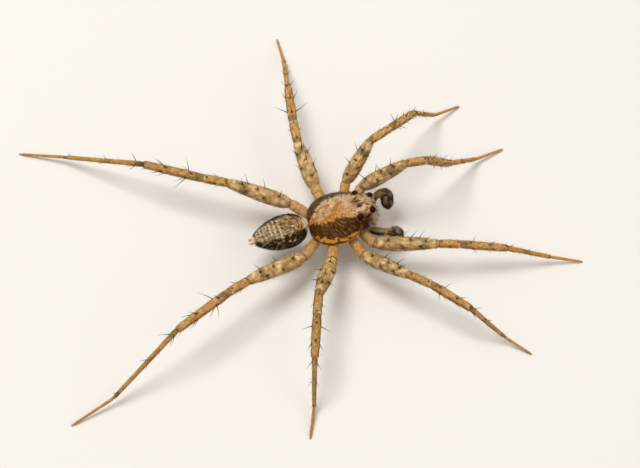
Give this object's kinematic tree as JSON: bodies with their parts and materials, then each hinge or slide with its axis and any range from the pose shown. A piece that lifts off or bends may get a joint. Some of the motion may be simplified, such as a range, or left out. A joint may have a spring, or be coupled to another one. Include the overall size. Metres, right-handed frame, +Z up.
{
  "type": "wolf spider",
  "caption": "Life-size wolf spider, a thin-legged adult male, standing still with its head slightly raised and its long legs spread wide over the floor.",
  "frame": {"origin": "on the floor, under the middle of the box that holds the whole spider", "axes": "+X ahead, past the head; +Y to the spider's left; +Z up"},
  "size_m": [0.0314, 0.0264, 0.0051],
  "materials": {
    "carapace": "dark brown shield with a pale tan band along its middle, under short pale hair",
    "abdomen": "grey-tan, with dark flanks and pale bars of hair",
    "legs": "sandy tan with olive-brown rings, short hair and long black spines",
    "underside": "pale pinkish tan with short whitish hair",
    "jaws": "brown with whitish hair",
    "palps": "dark brown and pale brown with pale hair",
    "palp_tips": "grey-black, densely haired",
    "spinnerets": "pale orange-tan",
    "fangs": "glossy dark red-brown",
    "eyes": "glossy black"
  },
  "bodies": {
    "root": {"carapace": "carapace", "abdomen": "abdomen", "sternum": "underside", "mouthparts": "underside", "pedicel": "underside", "spinnerets": "spinnerets", "left_chelicera": "jaws", "left_fang": "fangs", "left_palp": "palps", "left_palp_cymbium": "palp_tips", "left_leg_1_coxa": "underside", "left_leg_1_femur": "legs", "left_leg_1_tibia": "legs", "left_leg_1_foot": "legs", "left_leg_2_coxa": "underside", "left_leg_2_femur": "legs", "left_leg_2_tibia": "legs", "left_leg_2_foot": "legs", "left_leg_3_coxa": "underside", "left_leg_3_femur": "legs", "left_leg_3_tibia": "legs", "left_leg_3_foot": "legs", "left_leg_4_coxa": "underside", "left_leg_4_femur": "legs", "left_leg_4_tibia": "legs", "left_leg_4_foot": "legs", "right_chelicera": "jaws", "right_fang": "fangs", "right_palp": "palps", "right_palp_cymbium": "palp_tips", "right_leg_1_coxa": "underside", "right_leg_1_femur": "legs", "right_leg_1_tibia": "legs", "right_leg_1_foot": "legs", "right_leg_2_coxa": "underside", "right_leg_2_femur": "legs", "right_leg_2_tibia": "legs", "right_leg_2_foot": "legs", "right_leg_3_coxa": "underside", "right_leg_3_femur": "legs", "right_leg_3_tibia": "legs", "right_leg_3_foot": "legs", "right_leg_4_coxa": "underside", "right_leg_4_femur": "legs", "right_leg_4_tibia": "legs", "right_leg_4_foot": "legs", "left_anterior_lateral_eye": "eyes", "left_anterior_median_eye": "eyes", "left_posterior_lateral_eye": "eyes", "left_posterior_median_eye": "eyes", "right_anterior_lateral_eye": "eyes", "right_anterior_median_eye": "eyes", "right_posterior_lateral_eye": "eyes", "right_posterior_median_eye": "eyes"}
  },
  "joints": []
}
